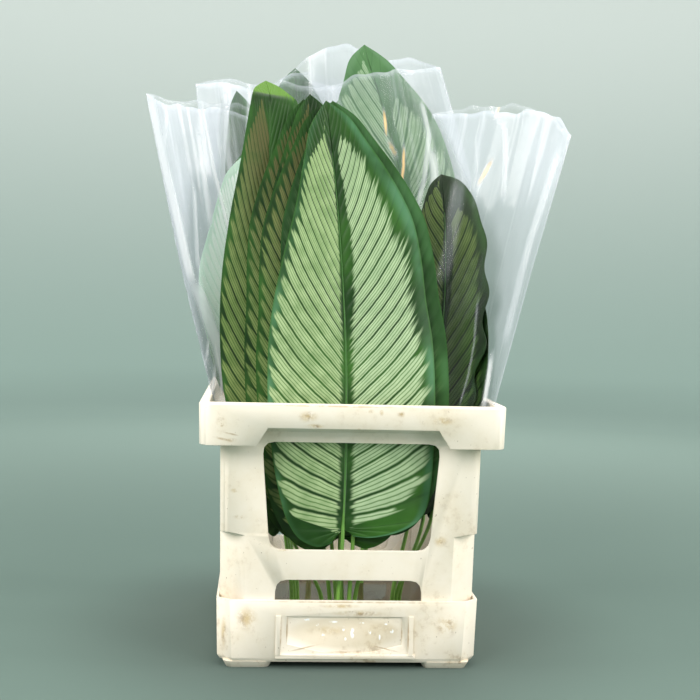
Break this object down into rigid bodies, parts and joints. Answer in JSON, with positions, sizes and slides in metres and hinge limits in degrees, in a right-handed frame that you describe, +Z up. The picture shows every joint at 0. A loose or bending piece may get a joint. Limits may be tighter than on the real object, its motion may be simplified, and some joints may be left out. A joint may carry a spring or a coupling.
{
  "type": "flower container of cut calathea leaves",
  "caption": "Cut white-striped calathea leaves standing upright in a two-piece window container with water, some in clear film sleeves",
  "frame": {"origin": "on the floor, under the middle of the object's box, which is the middle of the container", "axes": "+Z up, the bare front bunch faces -Y, +X to the right as seen from the front"},
  "size_m": [0.4278, 0.4, 0.6608],
  "materials": {
    "ivory_plastic": "moulded ivory plastic, satin, with tan scuffs and dirt",
    "leaf_green": "waxy leaf, deep green with pale feathered stripes and a matt purple-green underside",
    "leaf_olive": "waxy leaf, dark green with olive-brown stripes",
    "clear_film": "clear glossy wrapping film, slightly milky, with creases",
    "water": "still clear water, faintly green"
  },
  "bodies": {
    "root": {"water_tub": "ivory_plastic", "window_collar": "ivory_plastic", "water": "water", "leaf_front_1": "leaf_green", "leaf_front_2": "leaf_green", "leaf_front_3": "leaf_green", "leaf_front_4": "leaf_green", "leaf_front_5": "leaf_green", "leaf_front_6": "leaf_green", "leaf_front_7": "leaf_olive", "leaf_left_1": "leaf_green", "leaf_left_2": "leaf_green", "leaf_left_3": "leaf_green", "leaf_right_1": "leaf_olive", "leaf_right_2": "leaf_olive", "leaf_right_3": "leaf_olive", "leaf_middle_1": "leaf_green", "leaf_middle_2": "leaf_green", "leaf_middle_3": "leaf_green", "leaf_back_1": "leaf_green", "leaf_back_2": "leaf_green", "leaf_back_3": "leaf_green", "leaf_back_4": "leaf_green", "sleeve_left": "clear_film", "sleeve_right": "clear_film", "sleeve_middle": "clear_film", "sleeve_back": "clear_film"}
  },
  "joints": []
}
